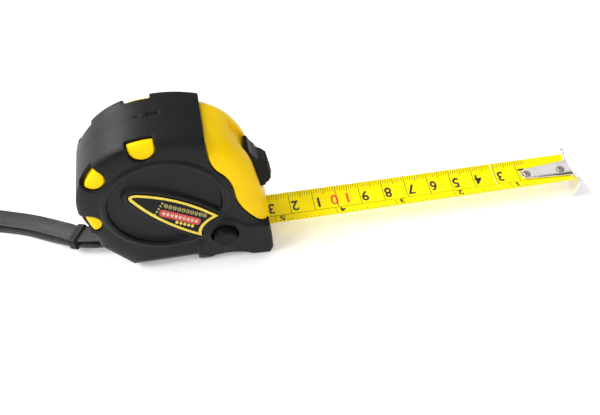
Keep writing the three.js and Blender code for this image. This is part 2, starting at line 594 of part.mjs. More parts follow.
/** The belt clip: a steel strip screwed in the left dish and folded over at the top. */
function beltClip() {
  const path = new THREE.Path().moveTo(14.1, 29).lineTo(15, 29).lineTo(15, 51);
  path.absarc(17.2, 51, 2.2, degrees(180), 0, true);
  path.quadraticCurveTo(19.6, 40, 18.6, 24).quadraticCurveTo(18.4, 18, 20.4, 13.6);
  path.lineTo(21.2, 14).quadraticCurveTo(19.4, 18, 19.6, 24).quadraticCurveTo(20.6, 40, 20.3, 51);
  path.absarc(17.2, 51, 3.1, 0, degrees(180), false);
  const strip = profileAlongX(outlineOf(path).reverse(), -6.5, 6.5);
  const solid = strip.volume() > 0 ? strip : profileAlongX(outlineOf(path), -6.5, 6.5);
  const window = rod(0, AXIS_Z, 4.2, 17, 30);
  add('belt_clip', cut(solid, rod(0, AXIS_Z, 1.8, 10, 16.5), window), STEEL);
  const head = [[0, 4.6], [1.4, 5], [1.4, 15.3], [3.2, 15.3], [3.2, 16], [2.2, 16.8], [0, 17]];
  const cross = joined(block(-1.6, 1.6, 16, 18, AXIS_Z - 0.4, AXIS_Z + 0.4),
    block(-0.4, 0.4, 16, 18, AXIS_Z - 1.6, AXIS_Z + 1.6));
  add('clip_screw', turned(0, AXIS_Z, head, 20).subtract(cross), STEEL);
}

// ---- wrist strap ------------------------------------------------------------------------------------
/** The strap's centreline: round the pin, out, a wide turn at the far end, and back underneath. */
const STRAP_ROUTE = [
  [-16.6, 0.5, 11.8], [-17.9, 0.5, 12.4], [-19.8, 0.5, 11.9], [-23.4, 0.6, 9.5], [-29, 1, 8.5],
  [-34, 2.2, 7.7], [-38, 3.6, 6.9], [-44, 7.8, 5.6], [-50, 12, 4.2], [-58, 16.6, 3.3],
  [-66, 19.8, 3.2], [-76, 22.6, 4], [-90, 24.4, 5.6], [-106, 24.6, 7.4], [-122, 23.4, 10],
  [-136, 21.8, 13.4], [-146, 20.4, 14.4], [-153, 19.4, 11.4], [-154.4, 19.2, 6.6], [-149.6, 19.6, 2.6],
  [-140, 20.9, 0.9], [-128, 22.4, 0.7], [-110, 23.6, 0.7], [-92, 23.6, 0.7], [-76, 21.4, 0.7],
  [-66, 18.4, 0.8], [-58, 15.2, 1], [-50, 10.4, 1.8], [-44, 6.4, 3.2], [-38, 2.6, 4.8],
  [-34, 1.2, 5], [-29, 0.6, 4.8], [-24, 0.5, 5.4], [-19.8, 0.5, 7.3], [-17.3, 0.5, 8.1],
  [-16.2, 0.5, 9.2],
];

/** Frames along a route: u starts at +Y and stays level, and is only carried along where it is steep. */
function carriedFrames(route, steps) {
  const curve = new THREE.CatmullRomCurve3(route.map((p) => new THREE.Vector3(...p)), false, 'centripetal');
  let u = new THREE.Vector3(0, 1, 0);
  return Array.from({ length: steps + 1 }, (_, i) => {
    const at = curve.getPointAt(i / steps);
    const along = curve.getTangentAt(i / steps);
    const level = new THREE.Vector3(along.y, -along.x, 0);
    const guide = level.length() > 0.4 ? level.multiplyScalar(Math.sign(level.dot(u))) : u;
    u = guide.clone().addScaledVector(along, -guide.dot(along)).normalize();
    return { at, u, v: along.clone().cross(u) };
  });
}

function strap() {
  const [w, t] = [STRAP.width / 2, STRAP.thick / 2];
  const section = points2([[-w, -t], [w, -t], [w, t], [-w, t]]);
  add('wrist_strap', swept(section, carriedFrames(STRAP_ROUTE, 76)), WEBBING);
  const ring = (half, tall, deep) => {
    const g = new THREE.BoxGeometry(deep, 2 * half, 2 * tall);
    g.rotateY(degrees(-11));
    g.rotateZ(degrees(-28));
    g.translate(-38, 3.1, 5.85);
    return toSolid(g);
  };
  add('strap_keeper', ring(5.4, 2.75, 3.4).subtract(ring(4.85, 2.3, 9)), RUBBER_BLACK);
}

caseHalves();
grips();
blade();
hook();
drum();
thumbLock();
sideButton();
fittings();
beltClip();
strap();

export default root;
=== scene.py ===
"""The looks of a pocket tape measure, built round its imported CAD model.

Lengths are millimetres until a piece is finished, which scales it to metres. +X runs out of the mouth
along the blade, +Z is up, and the drum axis runs along Y over the origin.
"""

import math

import bmesh
import bpy
from mathutils import Matrix, Vector


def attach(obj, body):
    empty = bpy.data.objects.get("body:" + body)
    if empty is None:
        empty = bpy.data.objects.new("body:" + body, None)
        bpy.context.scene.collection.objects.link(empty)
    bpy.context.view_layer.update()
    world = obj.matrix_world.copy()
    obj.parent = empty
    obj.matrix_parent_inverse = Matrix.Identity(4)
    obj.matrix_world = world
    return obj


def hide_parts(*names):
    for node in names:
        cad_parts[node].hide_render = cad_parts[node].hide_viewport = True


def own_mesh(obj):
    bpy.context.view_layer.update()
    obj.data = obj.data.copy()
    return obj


MM = 0.001
CURVE = 22  # points on each curved stretch of an outline
GAP = 0.3
SEAM_Y = 0.9
SEAM_GAP = 0.09
AXIS_Z = 36.3
REAR_R = 31.5
RUBBER = 1.8
RING_Y = 15.2
RING_R = (20.8, 23.2)
DISH_Y = (13.3, 13.8)  # right and left
COLLAR_R = 5.9
LABEL_Y = 15.0
BOSS_R = 9.2
BUTTON = {"x": 20.4, "z": 15.6, "r": 4.5, "hole": 5.3, "out": 17.9}
WINDOWS = (98.5, 143.5, 190.5)
WINDOW = {"half": 4.9, "inner": 24.0, "inset": 9.8}
PAD_R = (30.7, 29.6, 29.2)
LEFT_PAD_DROP = 0.8  # how much lower the left side's pads lie
SEAM_SLOTS = ((-1.3, 3.2, 0.4, 1.9), (-5.4, -3.6, 0.6, 1.7))  # x and y spans of the slots on the top
MOUTH = {"x": 39.5, "z0": 6.0, "z1": 11.0, "half": 8.7}
BLADE = {"half": 7.6, "sag": 1.9, "low": 7.5, "thick": 0.35, "tip": 33.0}
HOOK_X = 171.4
RIVETS = (HOOK_X - 19, HOOK_X - 3.6)
LOCK = {"x": 35.35, "z": 36.0, "lean": 11.7, "half": 4.4, "recess": 1.5}
PIN = {"x": -18.3, "z": 10.0, "r": 1.2}
SCREWS = ((-19.5, 16.2), (-19.2, 54.9), (21.2, 53.2), (34.3, 4.1))
STRAP = {"width": 8.0, "thick": 1.0}

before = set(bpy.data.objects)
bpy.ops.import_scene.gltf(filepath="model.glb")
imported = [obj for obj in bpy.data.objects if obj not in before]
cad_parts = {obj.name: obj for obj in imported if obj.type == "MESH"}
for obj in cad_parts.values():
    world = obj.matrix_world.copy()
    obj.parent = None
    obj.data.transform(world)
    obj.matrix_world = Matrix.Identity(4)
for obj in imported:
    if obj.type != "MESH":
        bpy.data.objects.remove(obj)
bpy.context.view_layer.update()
scene = bpy.context.scene


# ---- camera -----------------------------------------------------------------------------------
def make_camera():
    data = bpy.data.cameras.new("camera")
    data.lens = 44.7
    data.clip_start, data.clip_end = 0.01, 20
    camera = bpy.data.objects.new("camera", data)
    scene.collection.objects.link(camera)
    camera.location = Vector((15.3, -199.0, 242.5)) * MM
    looking = Vector((0.1213, 0.6420, -0.7570))
    camera.rotation_euler = looking.to_track_quat("-Z", "Y").to_euler()
    scene.camera = camera


# ---- materials --------------------------------------------------------------------------------
def surface(name, base, rough, metal=0.0, specular=0.5, vary=0.12, patch=90, rough_vary=0.08,
            grain=0, depth=0.0, uv_weave=None):
    """A moulded, painted or metal surface: patchy colour and gloss, and a fine grain in its bump."""
    material = bpy.data.materials.new(name)
    material.use_nodes = True
    nodes, links = material.node_tree.nodes, material.node_tree.links
    shader = nodes["Principled BSDF"]
    shader.inputs["Metallic"].default_value = metal
    shader.inputs["Specular IOR Level"].default_value = specular
    place = nodes.new("ShaderNodeTexCoord")
    patches = nodes.new("ShaderNodeTexNoise")
    patches.inputs["Scale"].default_value = patch
    patches.inputs["Detail"].default_value = 5
    patches.inputs["Roughness"].default_value = 0.6
    links.new(place.outputs["Object"], patches.inputs["Vector"])
    ramp = nodes.new("ShaderNodeValToRGB")
    low, high = ramp.color_ramp.elements
    low.position, high.position = 0.3, 0.72
    low.color = (*[c * (1 - vary) for c in base], 1)
    high.color = (*[min(1, c * (1 + vary)) for c in base], 1)
    links.new(patches.outputs["Fac"], ramp.inputs["Fac"])
    links.new(ramp.outputs["Color"], shader.inputs["Base Color"])
    gloss = nodes.new("ShaderNodeMapRange")
    gloss.inputs["To Min"].default_value = max(0.02, rough - rough_vary)
    gloss.inputs["To Max"].default_value = min(1, rough + rough_vary)
    links.new(patches.outputs["Fac"], gloss.inputs["Value"])
    links.new(gloss.outputs["Result"], shader.inputs["Roughness"])
    if grain:
        fine = nodes.new("ShaderNodeTexNoise")
        fine.inputs["Scale"].default_value = grain
        fine.inputs["Detail"].default_value = 3
        links.new(place.outputs["Object"], fine.inputs["Vector"])
        bump = nodes.new("ShaderNodeBump")
        bump.inputs["Strength"].default_value = 1
        bump.inputs["Distance"].default_value = depth * MM
        links.new(fine.outputs["Fac"], bump.inputs["Height"])
        links.new(bump.outputs["Normal"], shader.inputs["Normal"])
    if uv_weave:
        add_weave(nodes, links, shader, ramp, *uv_weave)
    return material


def add_weave(nodes, links, shader, ramp, across, along, depth):
    """Woven ribs: bands across and along the webbing's own UVs, crossed into a check."""
    uv = nodes.new("ShaderNodeUVMap")
    bands = []
    for direction, scale in (("X", across), ("Y", along)):
        wave = nodes.new("ShaderNodeTexWave")
        wave.bands_direction = direction
        wave.inputs["Scale"].default_value = scale
        wave.inputs["Distortion"].default_value = 0.4
        links.new(uv.outputs["UV"], wave.inputs["Vector"])
        bands.append(wave.outputs["Fac"])
    crossed = nodes.new("ShaderNodeMath")
    crossed.operation = "MULTIPLY"
    links.new(bands[0], crossed.inputs[0])
    links.new(bands[1], crossed.inputs[1])
    bump = nodes.new("ShaderNodeBump")
    bump.inputs["Distance"].default_value = depth * MM
    links.new(crossed.outputs["Value"], bump.inputs["Height"])
    links.new(bump.outputs["Normal"], shader.inputs["Normal"])
    shade = nodes.new("ShaderNodeMix")
    shade.data_type = "RGBA"
    shade.blend_type = "MULTIPLY"
    shade.inputs["Factor"].default_value = 0.6
    links.new(ramp.outputs["Color"], shade.inputs["A"])
    grey = nodes.new("ShaderNodeCombineColor")
    for channel in ("Red", "Green", "Blue"):
        links.new(crossed.outputs["Value"], grey.inputs[channel])
    links.new(grey.outputs["Color"], shade.inputs["B"])
    links.new(shade.outputs["Result"], shader.inputs["Base Color"])


MATERIALS = {
    "rubber": surface("rubber", (0.0045, 0.0045, 0.0047), 0.46, specular=0.2, vary=0.22, patch=70,
                      rough_vary=0.12, grain=2600, depth=0.02),
    "yellow": surface("yellow", (0.98, 0.63, 0.002), 0.38, specular=0.08, vary=0.03, patch=40,
                      rough_vary=0.06,
                      grain=900, depth=0.006),
    "blade": surface("blade", (0.98, 0.79, 0.002), 0.3, specular=0.1, vary=0.03, patch=60, rough_vary=0.05,
                     grain=1500, depth=0.003),
    "print_black": surface("print_black", (0.012, 0.011, 0.010), 0.35, vary=0.3, patch=900),
    "print_red": surface("print_red", (0.80, 0.07, 0.015), 0.35, vary=0.15, patch=900),
    "label_black": surface("label_black", (0.006, 0.006, 0.0065), 0.4, vary=0.3, patch=200, specular=0.12),
    "label_yellow": surface("label_yellow", (0.80, 0.62, 0.045), 0.32, vary=0.1, patch=200),
    "label_red": surface("label_red", (0.62, 0.05, 0.03), 0.32, vary=0.2, patch=300),
    "label_pale": surface("label_pale", (0.75, 0.55, 0.45), 0.35, vary=0.2, patch=400),
    "label_gold": surface("label_gold", (0.42, 0.36, 0.1), 0.35, vary=0.3, patch=900),
    "black_plastic": surface("black_plastic", (0.006, 0.006, 0.0062), 0.46, specular=0.13, vary=0.2,
                             patch=150, rough_vary=0.1, grain=3500, depth=0.012),
    "chrome": surface("chrome", (0.86, 0.83, 0.80), 0.1, metal=1, vary=0.06, patch=160, rough_vary=0.07,
                      grain=700, depth=0.01),
    "clip_steel": surface("clip_steel", (0.62, 0.62, 0.62), 0.2, metal=1, vary=0.06, patch=120,
                          rough_vary=0.08, grain=1200, depth=0.006),
    "steel": surface("steel", (0.5, 0.5, 0.51), 0.3, metal=1, vary=0.12, patch=500, rough_vary=0.1,
                     grain=2500, depth=0.008),
    "rivet": surface("rivet", (0.42, 0.36, 0.36), 0.24, metal=1, vary=0.15, patch=500, rough_vary=0.1),
    "spring_steel": surface("spring_steel", (0.2, 0.22, 0.26), 0.3, metal=1, vary=0.15, patch=300),
    "nylon": surface("nylon", (0.72, 0.7, 0.64), 0.45, vary=0.05, patch=200, grain=2000, depth=0.01),
    "brake_rubber": surface("brake_rubber", (0.02, 0.02, 0.02), 0.7, vary=0.2, patch=600, grain=3000,
                            depth=0.03),
    "webbing": surface("webbing", (0.035, 0.035, 0.038), 0.42, specular=0.6, vary=0.2, patch=300,
                       uv_weave=(0.35, 0.6, 0.22)),
}


# ---- mesh work --------------------------------------------------------------------------------
def new_object(name, points, faces):
    mesh = bpy.data.meshes.new(name)
    mesh.from_pydata([tuple(p) for p in points], [], [tuple(f) for f in faces])
    mesh.validate()
    piece = bpy.data.objects.new(name, mesh)
    scene.collection.objects.link(piece)
    return piece


def face_out(piece):
    """Turns every face outwards."""
    bm = bmesh.new()
    bm.from_mesh(piece.data)
    bmesh.ops.recalc_face_normals(bm, faces=bm.faces)
    if bm.calc_volume(signed=True) < 0:
        bmesh.ops.reverse_faces(bm, faces=bm.faces)
    bm.to_mesh(piece.data)
    bm.free()
    return piece


def applied(piece):
    """The piece with its modifiers made part of its mesh."""
    bpy.context.view_layer.update()
    graph = bpy.context.evaluated_depsgraph_get()
    made = bpy.data.meshes.new_from_object(piece.evaluated_get(graph))
    piece.modifiers.clear()
    old, piece.data = piece.data, made
    bpy.data.meshes.remove(old)
    return piece


def boolean(piece, operation, *tools):
    """Joins, cuts or intersects the piece with each tool, and removes the tools."""
    for tool in tools:
        modifier = piece.modifiers.new("boolean", "BOOLEAN")
        modifier.operation = operation
        modifier.solver = "MANIFOLD"
        modifier.object = tool
        applied(piece)
        mesh = tool.data
        bpy.data.objects.remove(tool)
        bpy.data.meshes.remove(mesh)
    return piece


def join(piece, *tools):
    return boolean(piece, "UNION", *tools)


def cut(piece, *tools):
    return boolean(piece, "DIFFERENCE", *tools)


def common(piece, *tools):
    return boolean(piece, "INTERSECT", *tools)


def duplicate(piece, name):
    copy = bpy.data.objects.new(name, piece.data.copy())
    scene.collection.objects.link(copy)
    return copy


def softened(piece, voxel, rounds):
    """One moulded skin with rounded edges: remeshed into small cells and smoothed."""
    remesh = piece.modifiers.new("remesh", "REMESH")
    remesh.mode = "VOXEL"
    remesh.voxel_size = voxel
    remesh.adaptivity = 0
    smooth = piece.modifiers.new("smooth", "SMOOTH")
    smooth.factor = 0.5
    smooth.iterations = rounds
    return applied(piece)


def finished(piece, material, body, slot, *replaced, angle=None):
    """Scales a piece to metres, shades it, and gives it its material and body. The slot is not used."""
    piece.data.transform(Matrix.Scale(MM, 4))
    piece.data.materials.clear()
    piece.data.materials.append(MATERIALS[material])
    piece.data.shade_smooth()
    if angle:
        piece.data.set_sharp_from_angle(angle=math.radians(angle))
    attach(piece, body)
    if replaced:
        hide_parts(*replaced)
    return piece


def block(x0, x1, y0, y1, z0, z1):
    points = [(x, y, z) for z in (z0, z1) for y in (y0, y1) for x in (x0, x1)]
    faces = [(0, 2, 3, 1), (4, 5, 7, 6), (0, 1, 5, 4), (2, 6, 7, 3), (0, 4, 6, 2), (1, 3, 7, 5)]
    return face_out(new_object("block", points, faces))


def skinned(name, rings):
    """A closed body through rings of equal length, each a list of points, with a face on each end."""
    n = len(rings[0])
    points = [p for ring in rings for p in ring]
    faces = [(r * n + i, r * n + (i + 1) % n, (r + 1) * n + (i + 1) % n, (r + 1) * n + i)
             for r in range(len(rings) - 1) for i in range(n)]
    last = (len(rings) - 1) * n
    faces += [tuple(reversed(range(n))), tuple(range(last, last + n))]
    return face_out(new_object(name, points, faces))


def turned(name, x, z, profile, sides=96):
    """A solid of revolution along Y. The profile's [radius, y] points start and end on the axis, or close."""
    closed = profile[0] == profile[-1]
    points, faces, rings = [], [], []
    for r, y in profile[:-1] if closed else profile:
        start = len(points)
        count = 1 if r == 0 else sides
        for k in range(count):
            a = 2 * math.pi * k / sides
            points.append((x + r * math.cos(a), y, z + r * math.sin(a)))
        rings.append([start + (k % count) for k in range(sides)])
    pairs = list(zip(rings, rings[1:] + ([rings[0]] if closed else [])))
    for a, b in pairs:
        for k in range(sides):
            corners = (a[k], a[(k + 1) % sides], b[(k + 1) % sides], b[k])
            face = tuple(dict.fromkeys(corners))
            if len(face) > 2:
                faces.append(face)
    return face_out(new_object(name, points, faces))


def rod(x, z, r, y0, y1, sides=64):
    return turned("rod", x, z, [(0, y0), (r, y0), (r, y1), (0, y1)], sides)


def plate(outline, y0, y1, name="plate"):
    """An XZ outline extruded from y0 to y1."""
    return skinned(name, [[(x, y, z) for x, z in outline] for y in (y0, y1)])


def along_x(outline, x0, x1, name="bar"):
    """A YZ outline extruded from x0 to x1."""
    return skinned(name, [[(x, y, z) for y, z in outline] for x in (x0, x1)])


# ---- outlines ---------------------------------------------------------------------------------
def line(*points):
    return [Vector(p) for p in points]


def quad(start, control, end, n=CURVE):
    """The curve's points after its start."""
    a, b, c = Vector(start), Vector(control), Vector(end)
    steps = [i / n for i in range(1, n + 1)]
    return [a * (1 - t) ** 2 + b * 2 * t * (1 - t) + c * t * t for t in steps]


def arc(x, z, r, start, end, n=CURVE * 2):
    angles = [math.radians(start + (end - start) * i / n) for i in range(n + 1)]
    return [Vector((x + r * math.cos(a), z + r * math.sin(a))) for a in angles]


def tidy(outline):
    """The outline without points that repeat."""
    kept = [p for i, p in enumerate(outline) if (p - outline[i - 1]).length > 1e-3]
    return kept


def inset(outline, distance):
    """The counter-clockwise outline moved inwards."""
    moved = []
    for i, p in enumerate(outline):
        before = (p - outline[i - 1]).normalized()
        after = (outline[(i + 1) % len(outline)] - p).normalized()
        normal = Vector((-before.y - after.y, before.x + after.x)).normalized()
        along = max(0.5, -before.y * normal.x + before.x * normal.y)
        moved.append(p + normal * (distance / along))
    return moved


def rounded(name, outline, sides):
    """An XZ outline between the sides, each (y, inset), mirrored to both sides."""
    both = [(-y, d) for y, d in sides] + [(y, d) for y, d in reversed(sides)]
    return skinned(name, [[(p.x, y, p.y) for p in inset(outline, d)] for y, d in both])


def shoulder(flat_y, flat_inset, edge_y):
    """The roll from a flat side at flat_y down to the rim at edge_y, a superellipse, as (y, inset)."""
    steps, bend = 10, 2 / 2.5
    sides = []
    for i in range(steps + 1):
        a = math.pi / 2 * i / steps
        across, down = math.sin(a) ** bend, max(0, math.cos(a)) ** bend
        sides.append((edge_y + (flat_y - edge_y) * down, flat_inset * (1 - across)))
    return sides


def grip_outline():
    path = line((-15, 0), (38, 0), (38.6, 9), (38.4, 19))
    path += quad((38.4, 19), (38, 34), (34, 46.4)) + quad((34, 46.4), (29.4, 60), (17.3, 65.4))
    path += quad((17.3, 65.4), (9, 68.3), (0, AXIS_Z + REAR_R))
    return tidy(path + arc(0, AXIS_Z, REAR_R, 90, 208) + line((-26.9, 16)))


def core_outline():
    path = line((-14.1, RUBBER), (10, RUBBER)) + quad((10, RUBBER), (19.5, 7.6), (29, 3.8))
    path += line((33, 1.9), (37, 1.9), (37.9, 9), (37.5, 19))
    path += quad((37.5, 19), (36.6, 34), (32.3, 45.8)) + quad((32.3, 45.8), (28, 58.4), (16.6, 63.6))
    path += quad((16.6, 63.6), (8.6, 66.6), (0, AXIS_Z + REAR_R - RUBBER))
    return tidy(path + arc(0, AXIS_Z, REAR_R - RUBBER, 90, 208) + line((-25.2, 16.5)))


def face_outline():
    path = line((0, 4.4), (39.2, 4.4), (MOUTH["x"], 9), (39.1, 17))
    path += quad((39.1, 17), (38.2, 22.4), (36.8, 29)) + line((33.9, 43))
    path += quad((33.9, 43), (32.2, 50.5), (27.6, 56.2)) + quad((27.6, 56.2), (24, 60.8), (17.3, 63.8))
    return tidy(path + quad((17.3, 63.8), (9, 66.4), (0, 66.2)))


def hollow_outline():
    path = line((-13.2, 3.5), (9, 3.5), (14, MOUTH["z0"]), (36.2, MOUTH["z0"]), (36.2, 17), (33.8, 28.5),
                (30.7, 43.4))
    path += quad((30.7, 43.4), (28.2, 52.6), (23, 57.2)) + quad((23, 57.2), (14, 64.1), (0, 64.1))
    return tidy(path + arc(0, AXIS_Z, 27.8, 90, 208) + line((-23.5, 17.2)))


def face_region(shift):
    """Where the yellow face is bare: an S-shaped rear edge on the sides, straight across the top."""
    path = line((45, 17.6), (45, 80), (17.4, 80), (17.4, 59.6))
    path += quad((17.4, 59.6), (17.6, 52.6), (21.2, 48.8)) + quad((21.2, 48.8), (25.4, 44), (25.6, 36))
    path += quad((25.6, 36), (26.4, 30), (31.6, 23)) + quad((31.6, 23), (34.4, 18.6), (37.4, 17.6))
    region = plate(inset(tidy(path), shift), -20, 20)
    apron = block(36.4, 45, -10.2 + shift, 10.2 - shift, 4.4 + shift - GAP, 20)
    return join(region, apron)


def window_slot(angle, shrink, side):
    half = WINDOW["half"] - shrink
    middle = WINDOW["inner"] + half + shrink
    path = line((40, -half), (40, half)) + arc(middle, 0, half, 90, 270)
    turn = Matrix.Rotation(math.radians(angle), 2)
    outline = tidy([turn @ p + Vector((0, AXIS_Z)) for p in path])
    deep = WINDOW["inset"] + shrink
    return plate(outline, *sorted((side * deep, side * 20)))


def all_windows(shrink):
    return [window_slot(angle, shrink, side) for angle in WINDOWS for side in (-1, 1)]


def leaf_outline(margin, n=CURVE):
    path = line((11.5, 17.2)) + quad((11.5, 17.2), (10.8, 23.8), (18.7, 27.6), n)
    path += quad((18.7, 27.6), (6.4, 41), (-9.2, 45), n)
    path += quad((-9.2, 45), (-13, 45.4), (-12, 42.4), n)
    path += quad((-12, 42.4), (-4, 27.6), (11.5, 17.2), n)
    return inset(tidy(path), -margin)


GRIP_SIDES = shoulder(14.4, 8, 11)
CORE_SIDES = ((12.4, 6.4), (12.0, 3.0), (10.8, 0.8), (8.8, 0))
FACE_SIDES = shoulder(14.0, 8.6, 5.4)
HOLLOW_SIDES = ((10.9, 4.6), (10.2, 1.4), (8.4, 0))


def strap_slot(y):
    along, inward = Vector((0.597, -0.802)), Vector((0.802, 0.597))
    places = ((-3.3, -6), (3.3, -6), (3.3, 7), (-3.3, 7))
    corners = [Vector((-21, 8)) + along * a + inward * b for a, b in places]
    return plate(corners, -y, y)


def mouth_hole():
    return block(30, 45, -MOUTH["half"], MOUTH["half"], MOUTH["z0"], MOUTH["z1"])


def halves(whole, names):
    """The right and left parts of a whole that is split at the seam."""
    right, left = duplicate(whole, names[0]), duplicate(whole, names[1])
    bpy.data.objects.remove(whole)
    common(right, block(-60, 60, -30, SEAM_Y - SEAM_GAP / 2, -10, 90))
    common(left, block(-60, 60, SEAM_Y + SEAM_GAP / 2, 30, -10, 90))
    return right, left


# ---- rubber -----------------------------------------------------------------------------------
def front_block():
    path = line((9, 0), (38, 0), (39.3, 3), (38.9, 11), (38.2, 18.6), (30, 19.6), (28, 20.8))
    path += arc(BUTTON["x"], BUTTON["z"], BOSS_R, 35, 188) + line((9, 11), (9, 5))
    outline = tidy(path)

    def tucked(p, y):
        return y * (1 - 0.15 * max(0, 1 - p.y / 5) * ((38 - p.x) / 29))

    half = ((15.2, 1.4), (14.9, 0.5), (14.2, 0))
    steps = [(-y, d) for y, d in half] + [(y, d) for y, d in reversed(half)]
    return skinned("front_block", [[(p.x, tucked(p, y), p.y) for p in inset(outline, d)] for y, d in steps])


def side_ring(side):
    r0, r1 = RING_R
    low = 12.8
    profile = [(r0, low), (r1 + 0.9, low), (r1 + 0.2, RING_Y - 0.7), (r1 - 0.5, RING_Y - 0.05),
               (r0 + 0.9, RING_Y), (r0 + 0.2, RING_Y - 0.4), (r0, low)]
    return turned("ring", 0, AXIS_Z, [(r, side * y) for r, y in profile])


def leaf_island():
    """The leaf-shaped platform under the label, with sloping sides."""
    levels = ((-13.0, 2.9), (-13.7, 2.6), (-14.9, 1.7))
    return skinned("island", [[(p.x, y, p.y) for p in leaf_outline(m)] for y, m in levels])


def finger_arch():
    path = line((11.4, -5), (30.6, -5), (30.2, 1.2)) + quad((30.2, 1.2), (20, 5.6), (11.4, 0))
    return plate(tidy(path), -20, 20)


def lower_edge_cut(side):
    wedge = [(10.1, -1), (20, -1), (20, 8), (14.5, 6.4), (12.6, 3), (10.1, 0)]
    return along_x([(side * y, z) for y, z in wedge], -40, 9)


def build_grips():
    skin = rounded("grip", grip_outline(), GRIP_SIDES)
    cut(skin, lower_edge_cut(-1), lower_edge_cut(1))
    cut(skin, rod(0, AXIS_Z, RING_R[0], -20, -DISH_Y[0], 96), rod(0, AXIS_Z, RING_R[0], DISH_Y[1], 20, 96))
    join(skin, side_ring(-1), side_ring(1), leaf_island(), front_block())
    core = rounded("core", inset(core_outline(), -GAP), [(y + GAP, d) for y, d in CORE_SIDES])
    cut(skin, plate(leaf_outline(GAP), -20, -14.3), finger_arch(), core, face_region(0), *all_windows(0),
        strap_slot(5.2), rod(BUTTON["x"], BUTTON["z"], BUTTON["hole"], -20, -8), mouth_hole(),
        rod(0, AXIS_Z, 2.2, 5, 20), *[rod(x, z, 2.6, 8, 20) for x, z in SCREWS])
    collar = rod(BUTTON["x"], BUTTON["z"], COLLAR_R, -13, -12)
    cut(skin, *[block(*span, 67, 70) for span in SEAM_SLOTS])
    join(skin, cut(collar, rod(BUTTON["x"], BUTTON["z"], BUTTON["r"] + GAP, -20, -8)))
    softened(skin, 0.3, 4)
    for half, node in zip(halves(skin, ("rubber_right", "rubber_left")), ("grip_right", "grip_left")):
        finished(half, "rubber", "case", "black_grip", node, angle=50)


# ---- yellow case ------------------------------------------------------------------------------
def on_slope(s, n):
    c, k = math.cos(math.radians(LOCK["lean"])), math.sin(math.radians(LOCK["lean"]))
    return Vector((LOCK["x"] - s * k + n * c, LOCK["z"] + s * c + n * k))


def slope_plate(pairs, half, name="slope"):
    return plate([on_slope(s, n) for s, n in pairs], -half, half, name)


def lock_track():
    track = slope_plate([(-7.6, -8), (-7.6, 8), (22.3, 8), (22.3, -8)], LOCK["half"] + 0.4)
    cut(track, plate(inset(face_outline(), LOCK["recess"]), -20, 20))
    return join(track, slope_plate([(-1, -6), (-1, 4), (11.8, 4), (11.8, -6)], 2.7))


def outer_case():
    body = rounded("pads", grip_outline(), [(y - 0.9, d + 0.9) for y, d in GRIP_SIDES])
    windows = []
    for angle, radius in zip(WINDOWS, PAD_R):
        windows += [common(window_slot(angle, GAP, -1), rod(0, AXIS_Z, radius, -20, 0, 96)),
                    common(window_slot(angle, GAP, 1), rod(0, AXIS_Z, radius - LEFT_PAD_DROP, 0, 20, 96))]
    common(body, join(*windows))
    face = common(rounded("face", face_outline(), FACE_SIDES), face_region(GAP))
    return join(rounded("outer", core_outline(), CORE_SIDES), body, face)


def build_case():
    shell = outer_case()
    inner = duplicate(shell, "limits")
    cut(shell, rounded("hollow", hollow_outline(), HOLLOW_SIDES))
    bosses = join(rod(0, AXIS_Z, 5.2, -11.4, -9.9), rod(0, AXIS_Z, 5.2, 9.9, 11.4),
                  rod(BUTTON["x"], BUTTON["z"], 3.5, 2, 11.4),
                  block(-22, -15.4, -8.8, -5.4, 7, 13), block(-22, -15.4, 5.4, 8.8, 7, 13),
                  *[rod(x, z, 2.3, -11.4, 11.4, 32) for x, z in SCREWS])
    join(shell, common(bosses, inner))
    cut(shell, mouth_hole(), *[rod(x, z, 1.3, -8, 20, 32) for x, z in SCREWS],
        *[rod(x, z, 2, 11.2, 20, 32) for x, z in SCREWS],
        rod(BUTTON["x"], BUTTON["z"], 2.5, 1, 10.9),
        rod(BUTTON["x"], BUTTON["z"], BUTTON["r"] + GAP, -20, -8),
        rod(BUTTON["x"], BUTTON["z"], COLLAR_R + GAP, -20, -11.7),
        rod(0, AXIS_Z, 3.5, -10.9, 10.9), rod(0, AXIS_Z, 1.8, 5, 20), strap_slot(5.2), lock_track(),
        rod(PIN["x"], PIN["z"], PIN["r"] + GAP, -8.3, 8.3, 32))
    softened(shell, 0.3, 4)
    for half, node in zip(halves(shell, ("shell_right", "shell_left")), ("case_right", "case_left")):
        finished(half, "yellow", "case", "yellow_case", node, angle=50)


